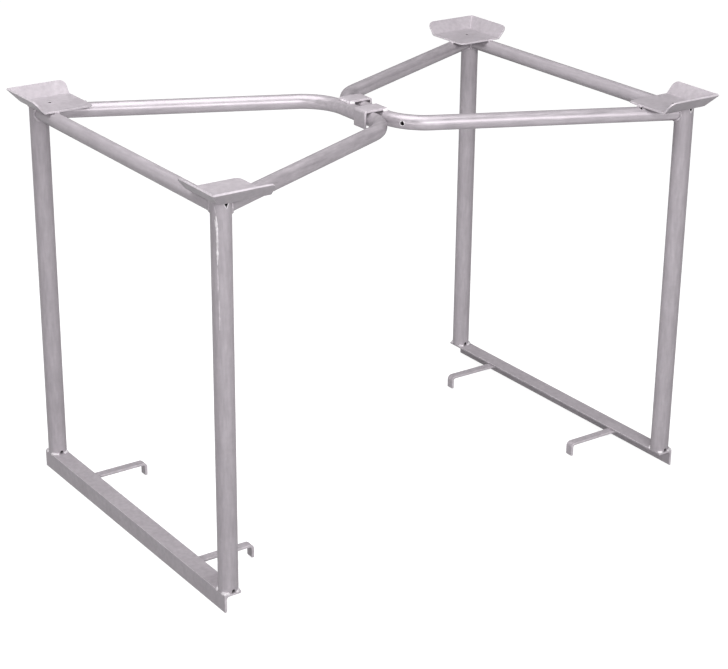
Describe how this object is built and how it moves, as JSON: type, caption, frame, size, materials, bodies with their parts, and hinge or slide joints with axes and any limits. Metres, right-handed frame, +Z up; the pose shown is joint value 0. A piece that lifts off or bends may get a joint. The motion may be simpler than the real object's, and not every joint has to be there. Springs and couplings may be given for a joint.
{
  "type": "steel pallet collar",
  "caption": "Galvanised tubular stacking frame that stands on a pallet, hooks together over the load and carries the next pallet on corner trays.",
  "frame": {"origin": "centre of the frame on the level of the foot angles' lower edges", "axes": "+X along the pallet's length to the right half, +Y across the pallet to the rear, +Z up"},
  "size_m": [1.2912, 0.8912, 0.9138],
  "materials": {
    "galvanised_steel": "hot-dip galvanised, matt to satin with soft spangle",
    "weld_bead": "galvanised over the weld, a little brighter and rippled"
  },
  "bodies": {
    "left_half": {"left_foot_angle": "galvanised_steel", "left_front_post": "galvanised_steel", "left_rear_post": "galvanised_steel", "left_cross_tube": "galvanised_steel", "left_loop_tube": "galvanised_steel", "left_front_tray": "galvanised_steel", "left_rear_tray": "galvanised_steel", "left_hook": "galvanised_steel", "left_front_lug": "galvanised_steel", "left_rear_lug": "galvanised_steel", "left_foot_welds": "weld_bead", "left_top_welds": "weld_bead", "left_hook_weld": "weld_bead"},
    "right_half": {"right_foot_angle": "galvanised_steel", "right_front_post": "galvanised_steel", "right_rear_post": "galvanised_steel", "right_cross_tube": "galvanised_steel", "right_loop_tube": "galvanised_steel", "right_front_tray": "galvanised_steel", "right_rear_tray": "galvanised_steel", "right_hook": "galvanised_steel", "right_front_lug": "galvanised_steel", "right_rear_lug": "galvanised_steel", "right_foot_welds": "weld_bead", "right_top_welds": "weld_bead", "right_hook_weld": "weld_bead"}
  },
  "joints": [
    {"name": "coupling_fold", "type": "hinge", "parent": "left_half", "child": "right_half", "pos_m": [-0.0172, 0, 0.86615], "axis": [0, 1, 0], "range_deg": [0, 45]}
  ]
}
